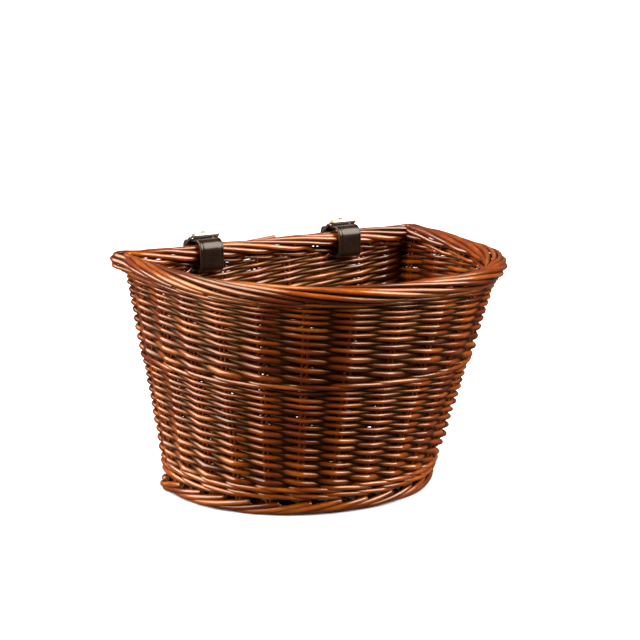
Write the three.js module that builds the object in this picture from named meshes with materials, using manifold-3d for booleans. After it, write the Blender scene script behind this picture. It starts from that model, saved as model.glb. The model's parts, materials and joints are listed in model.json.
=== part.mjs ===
// Handlebar basket: a D-shaped willow basket with two buckled leather straps round its flat back rim.
// Millimetres. +Z is up, +Y is the flat back that faces the handlebar, +X is to the right from the front.
import * as THREE from 'three';
import { ParametricGeometry } from 'three/addons/geometries/ParametricGeometry.js';
import { mergeVertices } from 'three/addons/utils/BufferGeometryUtils.js';
import Module from 'manifold-3d';

const wasm = await Module();
wasm.setup();

// ---------------------------------------------------------------- driving dimensions, mm
const HEIGHT = 228; // floor to the top of the rolled rim
const GAP = 0.3; // clearance between pieces that touch on the real basket

// Plan of the middle of the wall: a superellipse that the straight back cuts off.
const FOOT_PLAN = { halfWidth: 128.5, halfDepth: 121, power: 2.03, centreY: -53.8, backY: -24.5 };
const RIM_PLAN = { halfWidth: 165, halfDepth: 199.7, power: 2.37, centreY: -66, backY: 0 };
const CORNER_CUT = 9; // how far from each back corner its rounding starts
const FRONT_STEPS = 30; // facets of the curved front
const BACK_STEPS = 3; // facets of the straight back, with one across its middle

// Heights of the woven bands, from the foot up.
const FOOT_TOP = 12.5;
const BOTTOM_WALE_TOP = 29;
const LOWER_SIDING_TOP = 126;
const MIDDLE_WALE_TOP = 136.5;
const UPPER_SIDING_TOP = 208;
const TOP_WALE_TOP = 214;
const WALL_HALF = 4.8; // half the thickness of the woven wall
const BORDER_OUT = 5.5; // how far both rolled borders stand out from the middle of the wall
const RIM_BORDER_IN = -14; // how far the rim border reaches over the inside
const FOOT_BORDER_IN = -8;

// Stakes: pairs of rods side by side, standing inside the weave.
const STAKE_WIDTH = 8.4;
const STAKE_THICKNESS = 3;
const STAKE_BEVEL = 0.9;
const STAKE_BOTTOM = 5;
const STAKE_TOP = 222;
const FRONT_STAKES = 16;
const FIRST_FRONT_STAKE = 0.045; // share of the front's length from the left back corner
const FRONT_STAKE_STEP = 0.0625;
const BACK_STAKES = [132, 101, 52, 15, -21, -56, -97, -127, -154]; // X at the rim, right to left

// Base: a woven panel on sticks that run from front to back.
const BASE_THICKNESS = 8;
const BASE_INSET = 5.4;
const BASE_STICK_RADIUS = 2.5;
const BASE_STICKS = 7;
const BASE_STICK_SPACING = 30;

// Straps: 25 mm leather, threaded through the wall under the rim and buckled behind it.
const STRAPS = { left: -74, right: 79 }; // X of each strap's centre
const STRAP_WIDTH = 25;
const STRAP_THICKNESS = 2.4;
const SLOT_Z = 204; // where the strap passes through the wall
const LEG_Y = -17; // the strap's leg inside the basket
const TAIL_TIP_Z = 118;
const TAIL_HOLES_Z = [204, 184, 164, 144];
const HOLE_RADIUS = 2.3;

// Roller buckle, in the plane of a strap's thickness: [Y, Z].
const BAR = [12.5, 224.6]; // axis of the fixed bar that the strap is folded round
const ROLLER = [-3, 237]; // axis of the roller
const WIRE_RADIUS = 1.5;
const FRAME_HALF_WIDTH = 14.6; // to the middle of the side wires
const FRAME_CORNER = 2;
const ROLLER_RADIUS = 2.75;
const ROLLER_HALF_LENGTH = 12.3;
const BORE_CLEARANCE = 0.25;
const PRONG_WIDTH = 3.2;
const PRONG_HALF_THICKNESS = 1;
const PRONG_EYE_RADIUS = 3.45;
const PRONG_LENGTH = 21;
const ROLLER_CLEARANCE = 0.4; // between the roller and the strap under it
const KEEPER_Z = [211.5, 216.5];
const KEEPER_THICKNESS = 1.6;

// ---------------------------------------------------------------- materials
const WILLOW = { color: 0x9c5a2a, roughness: 0.38, metalness: 0 };
const WILLOW_DARK = { color: 0x7d4420, roughness: 0.42, metalness: 0 };
const LEATHER = { color: 0x2b1c15, roughness: 0.45, metalness: 0 };
const STEEL = { color: 0xc9c4b8, roughness: 0.22, metalness: 1 };

const basket = new THREE.Group();

function addMesh(name, geometry, finish) {
  const mesh = new THREE.Mesh(geometry, new THREE.MeshStandardMaterial(finish));
  mesh.name = name;
  basket.add(mesh);
}

// ---------------------------------------------------------------- solids and cuts
function merged(geometry) {
  geometry.deleteAttribute('normal');
  geometry.deleteAttribute('uv');
  return mergeVertices(geometry, 1e-4);
}

function toSolid(geometry) {
  const clean = merged(geometry);
  return new wasm.Manifold(new wasm.Mesh({
    numProp: 3,
    vertProperties: new Float32Array(clean.attributes.position.array),
    triVerts: new Uint32Array(clean.index.array),
  }));
}

function toGeometry(solid) {
  const mesh = solid.getMesh();
  const geometry = new THREE.BufferGeometry();
  geometry.setAttribute('position', new THREE.BufferAttribute(mesh.vertProperties, 3));
  geometry.setIndex(new THREE.BufferAttribute(mesh.triVerts, 1));
  return geometry;
}

const joined = (solids) => solids.reduce((all, solid) => all.add(solid));

// A closed tube whose skin runs through loops of points, each loop joined to the next and the last to the first.
function closedSweep(loops) {
  const around = loops[0].length;
  const pick = (u, v, target) => {
    target.copy(loops[Math.round(v * loops.length) % loops.length][Math.round(u * around) % around]);
  };
  return merged(new ParametricGeometry(pick, around, loops.length));
}

// ---------------------------------------------------------------- plan of the wall
const signedPower = (value, power) => Math.sign(value) * Math.abs(value) ** power;

// The curved front from the left back corner round to the right one, with its length.
function frontCurve(plan, offset) {
  const a = plan.halfWidth + offset;
  const b = plan.halfDepth + offset;
  const backRise = (plan.backY + offset - plan.centreY) / b;
  const backAngle = Math.asin(signedPower(backRise, plan.power / 2));
  const samples = 400;
  const points = [];
  for (let i = 0; i <= samples; i += 1) {
    const t = Math.PI - backAngle + (Math.PI + 2 * backAngle) * (i / samples);
    points.push(new THREE.Vector2(
      a * signedPower(Math.cos(t), 2 / plan.power),
      plan.centreY + b * signedPower(Math.sin(t), 2 / plan.power),
    ));
  }
  const lengths = [0];
  for (let i = 1; i <= samples; i += 1) lengths.push(lengths[i - 1] + points[i].distanceTo(points[i - 1]));
  return { points, lengths, length: lengths[samples] };
}

function alongFront(curve, distance) {
  let i = 1;
  while (i < curve.lengths.length - 1 && curve.lengths[i] < distance) i += 1;
  const share = (distance - curve.lengths[i - 1]) / (curve.lengths[i] - curve.lengths[i - 1]);
  return curve.points[i - 1].clone().lerp(curve.points[i], share);
}

// The whole D at one level, counter-clockwise from above, with both back corners rounded.
function outline(plan, offset) {
  const curve = frontCurve(plan, offset);
  const cut = Math.max(CORNER_CUT + offset, 2);
  const right = curve.points[curve.points.length - 1];
  const backY = plan.backY + offset;
  const points = [];
  for (let i = 0; i <= FRONT_STEPS; i += 1) {
    points.push(alongFront(curve, cut + (curve.length - 2 * cut) * (i / FRONT_STEPS)));
  }
  const roundedCorner = (before, corner, after) => before.clone().add(after).multiplyScalar(0.25)
    .addScaledVector(corner, 0.5);
  const back = [];
  for (let i = 0; i <= BACK_STEPS; i += 1) {
    back.push(new THREE.Vector2((right.x - cut) * (1 - 2 * (i / BACK_STEPS)), backY));
  }
  points.push(roundedCorner(points[FRONT_STEPS], right, back[0]));
  points.push(...back);
  points.push(roundedCorner(back[BACK_STEPS], curve.points[0], points[0]));
  return points;
}

// The wall's outline at a height: the foot's plan growing in straight lines into the rim's.
function wallLoop(offset, z) {
  const foot = outline(FOOT_PLAN, offset);
  const rim = outline(RIM_PLAN, offset);
  return foot.map((point, i) => {
    const here = point.clone().lerp(rim[i], z / HEIGHT);
    return new THREE.Vector3(here.x, here.y, z);
  });
}

const ringSolid = (section) => toSolid(closedSweep(section.map(([offset, z]) => wallLoop(offset, z))));

// ---------------------------------------------------------------- stakes
// Where each stake stands: its point on the foot's plan and on the rim's.
function stakePlaces() {
  const footCurve = frontCurve(FOOT_PLAN, 0);
  const rimCurve = frontCurve(RIM_PLAN, 0);
  const places = [];
  for (let i = 0; i < FRONT_STAKES; i += 1) {
    const share = FIRST_FRONT_STAKE + FRONT_STAKE_STEP * i;
    const step = 0.002;
    const ahead = alongFront(rimCurve, (share + step) * rimCurve.length);
    const behind = alongFront(rimCurve, (share - step) * rimCurve.length);
    places.push({
      foot: alongFront(footCurve, share * footCurve.length),
      rim: alongFront(rimCurve, share * rimCurve.length),
      along: ahead.sub(behind).normalize(),
    });
  }
  const narrowing = footCurve.points[0].x / rimCurve.points[0].x;
  for (const x of BACK_STAKES) {
    places.push({
      foot: new THREE.Vector2(x * narrowing, FOOT_PLAN.backY),
      rim: new THREE.Vector2(x, RIM_PLAN.backY),
      along: new THREE.Vector2(-1, 0),
    });
  }
  return places;
}

// A rod pair as one flat-sided bar; grow makes the channel that the weave leaves round it.
function stakeSolid(place, grow) {
  const at = (z) => {
    const point = place.foot.clone().lerp(place.rim, z / HEIGHT);
    return new THREE.Vector3(point.x, point.y, z);
  };
  const start = at(STAKE_BOTTOM - grow);
  const end = at(STAKE_TOP + grow);
  const up = end.clone().sub(start);
  const length = up.length();
  up.normalize();
  const along = new THREE.Vector3(place.along.x, place.along.y, 0).addScaledVector(up, -place.along.dot(up));
  along.normalize();
  const w = STAKE_WIDTH / 2 + grow;
  const t = STAKE_THICKNESS / 2 + grow;
  const bevel = STAKE_BEVEL;
  const section = new THREE.Shape([
    [w - bevel, -t], [w, bevel - t], [w, t - bevel], [w - bevel, t],
    [bevel - w, t], [-w, t - bevel], [-w, bevel - t], [bevel - w, -t],
  ].map(([x, y]) => new THREE.Vector2(x, y)));
  const bar = new THREE.ExtrudeGeometry(section, { depth: length, bevelEnabled: false });
  const across = up.clone().cross(along);
  bar.applyMatrix4(new THREE.Matrix4().makeBasis(along, across, up).setPosition(start));
  return toSolid(bar);
}

// ---------------------------------------------------------------- straps and buckles
// A shape drawn in [Y, Z] and extruded along X, centred on X = 0.
function acrossStrap(shape, width, curveSegments = 6) {
  const geometry = new THREE.ExtrudeGeometry(shape, { depth: width, bevelEnabled: false, curveSegments });
  geometry.translate(0, 0, -width / 2);
  const basis = new THREE.Matrix4().makeBasis(
    new THREE.Vector3(0, 1, 0),
    new THREE.Vector3(0, 0, 1),
    new THREE.Vector3(1, 0, 0),
  );
  return geometry.applyMatrix4(basis);
}

const barPoint = new THREE.Vector2(...BAR);
const rollerPoint = new THREE.Vector2(...ROLLER);
const barToRoller = rollerPoint.clone().sub(barPoint);
const frameLength = barToRoller.length();
const frameAngle = Math.atan2(barToRoller.y, barToRoller.x);

// The strap's middle line passes under the roller and over its own fold on the bar.
const foldRadius = WIRE_RADIUS + GAP + STRAP_THICKNESS / 2;
const underRoller = ROLLER_RADIUS + ROLLER_CLEARANCE + STRAP_THICKNESS / 2;
const overFold = foldRadius + STRAP_THICKNESS + GAP;
const crossingAngle = frameAngle - Math.PI + Math.asin((underRoller + overFold) / frameLength);
const crossingSlope = Math.tan(crossingAngle);
const crossingStart = rollerPoint.clone().add(
  new THREE.Vector2(Math.sin(crossingAngle), -Math.cos(crossingAngle)).multiplyScalar(underRoller),
);
const crossingZ = (y) => crossingStart.y + (y - crossingStart.x) * crossingSlope;

// Corners of the strap's middle line from the end of its fold to its tip: [Y, Z, rounding radius].
function strapCorners() {
  const inner = BAR[0] - foldRadius;
  const outer = BAR[0] + foldRadius;
  const tailTop = BAR[0] + overFold;
  const baseY = inner + STRAP_THICKNESS + 0.7;
  const tailY = baseY + STRAP_THICKNESS + 0.8;
  return [
    [inner, SLOT_Z + 5, 0],
    [inner, BAR[1] + foldRadius, foldRadius],
    [outer, BAR[1] + foldRadius, foldRadius],
    [outer, BAR[1] - 2.4, 3],
    [baseY, BAR[1] - 7, 3],
    [baseY, SLOT_Z, 5],
    [LEG_Y, SLOT_Z, 5],
    [LEG_Y, crossingZ(LEG_Y), 9],
    [tailTop, crossingZ(tailTop), overFold],
    [tailTop, BAR[1] - 2, 3],
    [tailY, BAR[1] - 6.6, 3],
    [tailY, SLOT_Z, 60],
    [tailY - 2, TAIL_TIP_Z + 36, 60],
    [tailY - 0.5, TAIL_TIP_Z, 0],
  ];
}

// Points along a line of corners, each turned on an arc.
function roundedLine(corners) {
  const points = corners.map(([y, z]) => new THREE.Vector2(y, z));
  const line = [points[0]];
  for (let i = 1; i < points.length - 1; i += 1) {
    const arrive = points[i].clone().sub(points[i - 1]).normalize();
    const leave = points[i + 1].clone().sub(points[i]).normalize();
    const turn = Math.atan2(arrive.cross(leave), arrive.dot(leave));
    const radius = corners[i][2];
    const reach = radius * Math.tan(Math.abs(turn) / 2);
    const start = points[i].clone().addScaledVector(arrive, -reach);
    const centre = start.clone().addScaledVector(
      new THREE.Vector2(-arrive.y, arrive.x),
      Math.sign(turn) * radius,
    );
    const steps = Math.max(1, Math.ceil(Math.abs(turn) / 0.4));
    for (let k = 0; k <= steps; k += 1) {
      line.push(start.clone().rotateAround(centre, turn * (k / steps)));
    }
  }
  line.push(points[points.length - 1]);
  return line.filter((point, i) => i === 0 || point.distanceTo(line[i - 1]) > 1e-6);
}

// The outline of a strip of even thickness along a line.
function stripShape(line, thickness) {
  const sides = [[], []];
  line.forEach((point, i) => {
    const before = line[Math.max(i - 1, 0)];
    const after = line[Math.min(i + 1, line.length - 1)];
    const into = point.clone().sub(before).normalize();
    const out = after.clone().sub(point).normalize();
    const along = into.add(out).normalize();
    const widen = 1 / along.dot(after.clone().sub(i < line.length - 1 ? point : before).normalize());
    const normal = new THREE.Vector2(-along.y, along.x).multiplyScalar((widen * thickness) / 2);
    sides[0].push(point.clone().add(normal));
    sides[1].push(point.clone().sub(normal));
  });
  return new THREE.Shape([...sides[1], ...sides[0].reverse()]);
}

const cylinderAlongX = (radius, length, sides) => new THREE.CylinderGeometry(radius, radius, length, sides)
  .rotateZ(Math.PI / 2);

const prongAngle = frameAngle
  - Math.asin((ROLLER_RADIUS + PRONG_HALF_THICKNESS + 0.35) / frameLength);

// The oblong hole that the prong comes up through, cut square to the strap.
function prongHole() {
  const rise = Math.tan(prongAngle);
  const y = (crossingZ(0) - BAR[1] + rise * BAR[0]) / (rise - crossingSlope);
  const towardsRoller = 3.4;
  const towardsBar = 6.6;
  const hole = new THREE.BoxGeometry(2 * HOLE_RADIUS, towardsRoller + towardsBar, 2 * STRAP_THICKNESS);
  hole.translate(0, (towardsBar - towardsRoller) / 2, 0);
  hole.rotateX(crossingAngle);
  return toSolid(hole.translate(0, y, crossingZ(y)));
}

function strapSolid() {
  const line = roundedLine(strapCorners());
  const strip = toSolid(acrossStrap(stripShape(line, STRAP_THICKNESS), STRAP_WIDTH));
  const half = STRAP_WIDTH / 2 + 1;
  const rounding = new THREE.Shape();
  rounding.moveTo(half, HEIGHT + 40);
  rounding.lineTo(-half, HEIGHT + 40);
  rounding.lineTo(-half, TAIL_TIP_Z + half);
  rounding.absarc(0, TAIL_TIP_Z + half, half, Math.PI, 2 * Math.PI, false);
  const depth = 80;
  const trim = new THREE.ExtrudeGeometry(rounding, { depth, bevelEnabled: false, curveSegments: 10 });
  trim.rotateX(Math.PI / 2).translate(0, depth / 2, 0);
  const tailHoles = TAIL_HOLES_Z.map((z) => {
    const hole = new THREE.CylinderGeometry(HOLE_RADIUS, HOLE_RADIUS, 6, 10);
    return toSolid(hole.translate(0, BAR[0] + 3.5, z));
  });
  const foldSlot = toSolid(cylinderAlongX(foldRadius + STRAP_THICKNESS / 2 + 0.15, PRONG_WIDTH + 1.6, 24)
    .translate(0, ...BAR));
  return strip.intersect(toSolid(trim)).subtract(joined([...tailHoles, prongHole(), foldSlot]));
}

// The buckle's wire: a rectangle with small round corners, swept by a round section.
function frameGeometry() {
  const towardsRoller = new THREE.Vector3(0, Math.cos(frameAngle), Math.sin(frameAngle));
  const normal = new THREE.Vector3(0, -Math.sin(frameAngle), Math.cos(frameAngle));
  const start = new THREE.Vector3(0, ...BAR);
  const sides = 8;
  const cornerSteps = 3;
  const corners = [[1, 1], [-1, 1], [-1, 0], [1, 0]];
  const loops = [];
  for (let k = 0; k < sides; k += 1) {
    const turn = (2 * Math.PI * (k + 0.5)) / sides;
    const loop = [];
    corners.forEach(([sideX, sideEnd], quarter) => {
      const centreX = sideX * (FRAME_HALF_WIDTH - FRAME_CORNER);
      const centreAlong = sideEnd ? frameLength - FRAME_CORNER : FRAME_CORNER;
      for (let step = 0; step <= cornerSteps; step += 1) {
        const angle = (Math.PI / 2) * (quarter + step / cornerSteps);
        const reach = FRAME_CORNER + WIRE_RADIUS * Math.cos(turn);
        loop.push(start.clone()
          .add(new THREE.Vector3(centreX + reach * Math.cos(angle), 0, 0))
          .addScaledVector(towardsRoller, centreAlong + reach * Math.sin(angle))
          .addScaledVector(normal, WIRE_RADIUS * Math.sin(turn)));
      }
    });
    loops.push(loop);
  }
  return closedSweep(loops);
}

function rollerGeometry() {
  const bore = WIRE_RADIUS + BORE_CLEARANCE;
  const profile = [
    [bore, -ROLLER_HALF_LENGTH], [ROLLER_RADIUS, -ROLLER_HALF_LENGTH],
    [ROLLER_RADIUS, ROLLER_HALF_LENGTH], [bore, ROLLER_HALF_LENGTH], [bore, -ROLLER_HALF_LENGTH],
  ].map(([r, x]) => new THREE.Vector2(r, x));
  return new THREE.LatheGeometry(profile, 16).rotateZ(Math.PI / 2).translate(0, ...ROLLER);
}

// The prong: an eye round the bar and a tongue that ends on the roller.
function prongGeometry() {
  const shape = new THREE.Shape();
  const opening = Math.asin(PRONG_HALF_THICKNESS / PRONG_EYE_RADIUS);
  shape.absarc(...BAR, PRONG_EYE_RADIUS, prongAngle + opening, prongAngle - opening + 2 * Math.PI, false);
  const onTongue = (along, across) => new THREE.Vector2(along, across)
    .rotateAround(new THREE.Vector2(), prongAngle).add(barPoint);
  const taper = 0.6;
  for (const [along, across] of [
    [PRONG_LENGTH - 2, -PRONG_HALF_THICKNESS], [PRONG_LENGTH, taper - PRONG_HALF_THICKNESS],
    [PRONG_LENGTH, PRONG_HALF_THICKNESS - 0.2], [PRONG_LENGTH - 1, PRONG_HALF_THICKNESS],
  ]) {
    const point = onTongue(along, across);
    shape.lineTo(point.x, point.y);
  }
  const eye = new THREE.Path();
  eye.absarc(...BAR, WIRE_RADIUS + BORE_CLEARANCE, 0, 2 * Math.PI, true);
  shape.holes.push(eye);
  return acrossStrap(shape, PRONG_WIDTH, 10);
}

// The keeper: a narrow leather loop round the fold and the tail.
function keeperGeometry() {
  const clearance = 0.4;
  const halfX = STRAP_WIDTH / 2 + clearance;
  const nearY = BAR[0] - foldRadius - STRAP_THICKNESS / 2 - clearance;
  const farY = nearY + 3 * STRAP_THICKNESS + 1.5 + 2 * clearance;
  const wall = KEEPER_THICKNESS;
  const box = (x, near, far) => [[-x, near], [x, near], [x, far], [-x, far]].map(([px, y]) => (
    new THREE.Vector2(px, y)));
  const shape = new THREE.Shape(box(halfX + wall, nearY - wall, farY + wall));
  shape.holes.push(new THREE.Path(box(halfX, nearY, farY).reverse()));
  const depth = KEEPER_Z[1] - KEEPER_Z[0];
  return new THREE.ExtrudeGeometry(shape, { depth, bevelEnabled: false }).translate(0, 0, KEEPER_Z[0]);
}

// ---------------------------------------------------------------- the basket
const places = stakePlaces();
const channels = joined(places.map((place) => stakeSolid(place, GAP)));

const slots = joined(Object.values(STRAPS).map((x) => toSolid(
  new THREE.BoxGeometry(STRAP_WIDTH + 1, 40, STRAP_THICKNESS + 1).translate(x, 0, SLOT_Z),
)));

const band = (bottom, top) => [
  [-WALL_HALF, bottom], [WALL_HALF, bottom], [WALL_HALF, top], [-WALL_HALF, top],
];
const RINGS = {
  foot_border: [
    [FOOT_BORDER_IN, 0], [4, 0], [BORDER_OUT, 4], [BORDER_OUT, 9], [4, FOOT_TOP], [FOOT_BORDER_IN, FOOT_TOP],
  ],
  bottom_wale: band(FOOT_TOP + GAP, BOTTOM_WALE_TOP),
  lower_siding: band(BOTTOM_WALE_TOP + GAP, LOWER_SIDING_TOP),
  middle_wale: band(LOWER_SIDING_TOP + GAP, MIDDLE_WALE_TOP),
  upper_siding: band(MIDDLE_WALE_TOP + GAP, UPPER_SIDING_TOP),
  top_wale: band(UPPER_SIDING_TOP + GAP, TOP_WALE_TOP),
  rim_border: [
    [-10, TOP_WALE_TOP + GAP], [2, TOP_WALE_TOP + GAP], [BORDER_OUT, 217.5], [BORDER_OUT, 223], [0, HEIGHT],
    [-9, HEIGHT], [RIM_BORDER_IN, 223], [RIM_BORDER_IN, 217.5],
  ],
};
for (const [name, section] of Object.entries(RINGS)) {
  let ring = ringSolid(section).subtract(channels);
  if (name === 'upper_siding') ring = ring.subtract(slots);
  addMesh(name, toGeometry(ring), WILLOW);
}

places.forEach((place, i) => {
  addMesh(`stake_${String(i + 1).padStart(2, '0')}`, toGeometry(stakeSolid(place, 0)), WILLOW_DARK);
});

const baseBottom = FOOT_TOP + GAP;
const stickZ = baseBottom + BASE_THICKNESS / 2;
const baseOutline = wallLoop(-BASE_INSET, baseBottom).map((point) => new THREE.Vector2(point.x, point.y));
const baseDepth = { depth: BASE_THICKNESS, bevelEnabled: false };
let basePanel = toSolid(new THREE.ExtrudeGeometry(new THREE.Shape(baseOutline), baseDepth)
  .translate(0, 0, baseBottom));

for (let i = 0; i < BASE_STICKS; i += 1) {
  const x = (i - (BASE_STICKS - 1) / 2) * BASE_STICK_SPACING;
  const { halfWidth, halfDepth, power, centreY, backY } = FOOT_PLAN;
  const share = 1 - Math.abs(x / (halfWidth - BASE_INSET)) ** power;
  const frontY = centreY - (halfDepth - BASE_INSET) * share ** (1 / power) + 1;
  const length = backY - BASE_INSET - 1 - frontY;
  const stick = (radius, reach) => toSolid(new THREE.CylinderGeometry(radius, radius, reach, 8)
    .translate(x, frontY + length / 2, stickZ));
  addMesh(`base_stick_${i + 1}`, toGeometry(stick(BASE_STICK_RADIUS, length)), WILLOW_DARK);
  basePanel = basePanel.subtract(stick(BASE_STICK_RADIUS + GAP, length + 30));
}
addMesh('base_weave', toGeometry(basePanel), WILLOW);

for (const [side, x] of Object.entries(STRAPS)) {
  addMesh(`strap_${side}`, toGeometry(strapSolid()).translate(x, 0, 0), LEATHER);
  addMesh(`strap_keeper_${side}`, keeperGeometry().translate(x, 0, 0), LEATHER);
  addMesh(`buckle_frame_${side}`, frameGeometry().translate(x, 0, 0), STEEL);
  addMesh(`buckle_roller_${side}`, rollerGeometry().translate(x, 0, 0), STEEL);
  addMesh(`buckle_prong_${side}`, prongGeometry().translate(x, 0, 0), STEEL);
}

// The origin is the middle of the whole object's box, at the floor.
const box = new THREE.Box3().setFromObject(basket);
basket.position.set(-(box.min.x + box.max.x) / 2, -(box.min.y + box.max.y) / 2, -box.min.z);

export default basket;
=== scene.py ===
import json
import math
import bpy
import numpy as np
from mathutils import Matrix, Vector


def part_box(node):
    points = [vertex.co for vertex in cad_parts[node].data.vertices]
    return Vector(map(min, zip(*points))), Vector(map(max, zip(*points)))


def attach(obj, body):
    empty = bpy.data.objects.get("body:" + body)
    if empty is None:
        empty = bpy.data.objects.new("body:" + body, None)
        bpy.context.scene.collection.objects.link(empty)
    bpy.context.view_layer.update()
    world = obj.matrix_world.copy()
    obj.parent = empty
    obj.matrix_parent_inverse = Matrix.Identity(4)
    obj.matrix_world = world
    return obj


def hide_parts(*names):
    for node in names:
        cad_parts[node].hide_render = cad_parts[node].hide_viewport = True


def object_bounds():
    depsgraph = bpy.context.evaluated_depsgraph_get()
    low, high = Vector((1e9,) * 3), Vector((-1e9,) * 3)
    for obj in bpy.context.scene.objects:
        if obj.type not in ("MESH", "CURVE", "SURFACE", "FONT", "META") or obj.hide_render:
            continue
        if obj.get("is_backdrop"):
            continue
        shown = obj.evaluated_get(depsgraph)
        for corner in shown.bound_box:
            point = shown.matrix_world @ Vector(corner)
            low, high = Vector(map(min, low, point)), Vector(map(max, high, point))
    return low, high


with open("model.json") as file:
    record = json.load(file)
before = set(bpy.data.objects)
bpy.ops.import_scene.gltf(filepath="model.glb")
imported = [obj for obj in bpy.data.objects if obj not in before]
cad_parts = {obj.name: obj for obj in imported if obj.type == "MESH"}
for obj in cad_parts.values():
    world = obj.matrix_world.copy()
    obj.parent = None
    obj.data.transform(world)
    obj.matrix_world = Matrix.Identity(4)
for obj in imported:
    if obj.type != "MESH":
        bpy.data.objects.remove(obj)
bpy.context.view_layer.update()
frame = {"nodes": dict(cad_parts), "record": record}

# Handlebar basket: the willow is woven rod by rod round the stakes that the frame gives.
# Shapes are worked out in millimetres and turned into metres when a mesh is made.
MM = 0.001


def box_mm(node):
    low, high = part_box(node)
    return Vector(low) / MM, Vector(high) / MM


def placed(name, data):
    """A new object in the scene with this mesh, curve, lamp or camera."""
    thing = bpy.data.objects.new(name, data)
    bpy.context.scene.collection.objects.link(thing)
    return thing


# ---- plan of the wall
BORDER_OUT = 5.5  # both borders stand this far outside the middle of the wall
FOOT_WIDE_Z = 9  # the level where each border is widest
RIM_WIDE_Z = 223
PLAN_POWER = (2.03, 2.37)  # superellipse power of the front at the foot and at the rim
WIDEST_FROM_BACK = (29.3, 66)  # from the flat back to the widest line, foot and rim
CORNER_CUT = 9  # how far from each back corner its rounding starts
CURVE_POINTS = 800
FRONT_POINTS = 400
CORNER_POINTS = 9
BACK_POINTS = 120

rim_low, rim_high = box_mm("rim_border")
foot_low, foot_high = box_mm("foot_border")
HEIGHT = rim_high.z


def at_floor_and_top(foot_value, rim_value):
    """The wall's lines are straight, so its two borders give a value at the floor and at the top."""
    slope = (rim_value - foot_value) / (RIM_WIDE_Z - FOOT_WIDE_Z)
    floor = foot_value - slope * FOOT_WIDE_Z
    return floor, floor + slope * HEIGHT


half_width = at_floor_and_top(
    (foot_high.x - foot_low.x) / 2 - BORDER_OUT,
    (rim_high.x - rim_low.x) / 2 - BORDER_OUT,
)
front_y = at_floor_and_top(foot_low.y + BORDER_OUT, rim_low.y + BORDER_OUT)
back_y = at_floor_and_top(foot_high.y - BORDER_OUT, rim_high.y - BORDER_OUT)


def unit(vectors):
    return vectors / np.linalg.norm(vectors, axis=1)[:, None]


def cumulative(points):
    steps = np.linalg.norm(np.diff(points, axis=0), axis=1)
    return np.concatenate([[0.0], np.cumsum(steps)])


def d_outline(level):
    """The wall's plan from the left back corner round the front; level 0 is the floor and 1 the top."""
    power = PLAN_POWER[level]
    widest = back_y[level] - WIDEST_FROM_BACK[level]
    depth = widest - front_y[level]
    start = math.asin((WIDEST_FROM_BACK[level] / depth) ** (power / 2))
    turn = np.linspace(math.pi - start, 2 * math.pi + start, CURVE_POINTS)

    def rounded(value):
        return np.sign(value) * np.abs(value) ** (2 / power)

    across = half_width[level] * rounded(np.cos(turn))
    forward = widest + depth * rounded(np.sin(turn))
    curve = np.stack([across, forward], axis=1)
    lengths = cumulative(curve)
    at = np.linspace(CORNER_CUT, lengths[-1] - CORNER_CUT, FRONT_POINTS)
    front = np.stack([np.interp(at, lengths, curve[:, k]) for k in (0, 1)], axis=1)
    back_x = np.linspace(curve[-1, 0] - CORNER_CUT, curve[0, 0] + CORNER_CUT, BACK_POINTS)
    back = np.stack([back_x, np.full(BACK_POINTS, back_y[level])], axis=1)
    s = np.linspace(0, 1, CORNER_POINTS + 2)[1:-1, None]

    def corner(before, tip, after):
        return before * (1 - s) ** 2 + 2 * tip * s * (1 - s) + after * s * s

    return np.concatenate([
        front,
        corner(front[-1], curve[-1], back[0]),
        back,
        corner(back[-1], curve[0], front[0]),
        front[:1],
    ])


floor_line = d_outline(0)
top_line = d_outline(1)
along_line = cumulative(top_line)
LOOP = along_line[-1]


def wall_line(along, z):
    at = np.mod(along, LOOP)
    floor = np.stack([np.interp(at, along_line, floor_line[:, k]) for k in (0, 1)], axis=1)
    top = np.stack([np.interp(at, along_line, top_line[:, k]) for k in (0, 1)], axis=1)
    return floor + (top - floor) * (np.asarray(z) / HEIGHT)[:, None]


# The wall is drawn in a little, most at the right side of its foot: millimetres in, at each level.
WAIST_LEVELS = [0, 30, 60, 100, 150, 200, 212, 220]
WAIST_LEFT = [0.0, 0.7, 1.4, 1.7, 2.0, 1.9, 1.6, 0.0]
WAIST_RIGHT = [6.0, 5.2, 4.5, 3.8, 4.0, 4.5, 3.5, 0.0]
FACING_BACK = (0.2, 0.9)  # from the side to the flat back, which isn't drawn in, as the y of the outward way


def wall_points(along, z, out, smooth=3.0):
    """Points that stand out from the middle of the wall, and the way out at each of them."""
    z = np.broadcast_to(np.asarray(z, float), along.shape)
    way = unit(wall_line(along + smooth, z) - wall_line(along - smooth, z))
    outward = np.stack([way[:, 1], -way[:, 0], np.zeros(len(along))], axis=1)
    middle = np.column_stack([wall_line(along, z), z])
    to_right = 0.5 + 0.5 * np.clip(middle[:, 0] / half_width[0], -1, 1)
    left = np.interp(z, WAIST_LEVELS, WAIST_LEFT)
    right = np.interp(z, WAIST_LEVELS, WAIST_RIGHT)
    waist = (left + (right - left) * to_right) * (1 - ramp(outward[:, 1], *FACING_BACK))
    return middle + outward * (np.asarray(out) - waist)[:, None], outward


def nearest_along(point):
    """Distance round the wall of the place nearest to a point."""
    along = np.arange(0, LOOP, 0.25)
    line = wall_line(along, np.full(len(along), point.z))
    return along[np.argmin(np.hypot(line[:, 0] - point.x, line[:, 1] - point.y))]


stake_names = sorted(name for name in frame["nodes"] if name.startswith("stake_"))
STAKES = len(stake_names)
stake_along = np.array([nearest_along(sum(box_mm(name), Vector()) / 2) for name in stake_names])
stake_along = np.append(stake_along, stake_along[0] + LOOP)


def along_at(stake):
    """Distance round the wall at a stake number, which may be a fraction and may run past the last."""
    laps = np.floor(stake / STAKES)
    return np.interp(stake - laps * STAKES, np.arange(STAKES + 1), stake_along) + laps * LOOP


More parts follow.
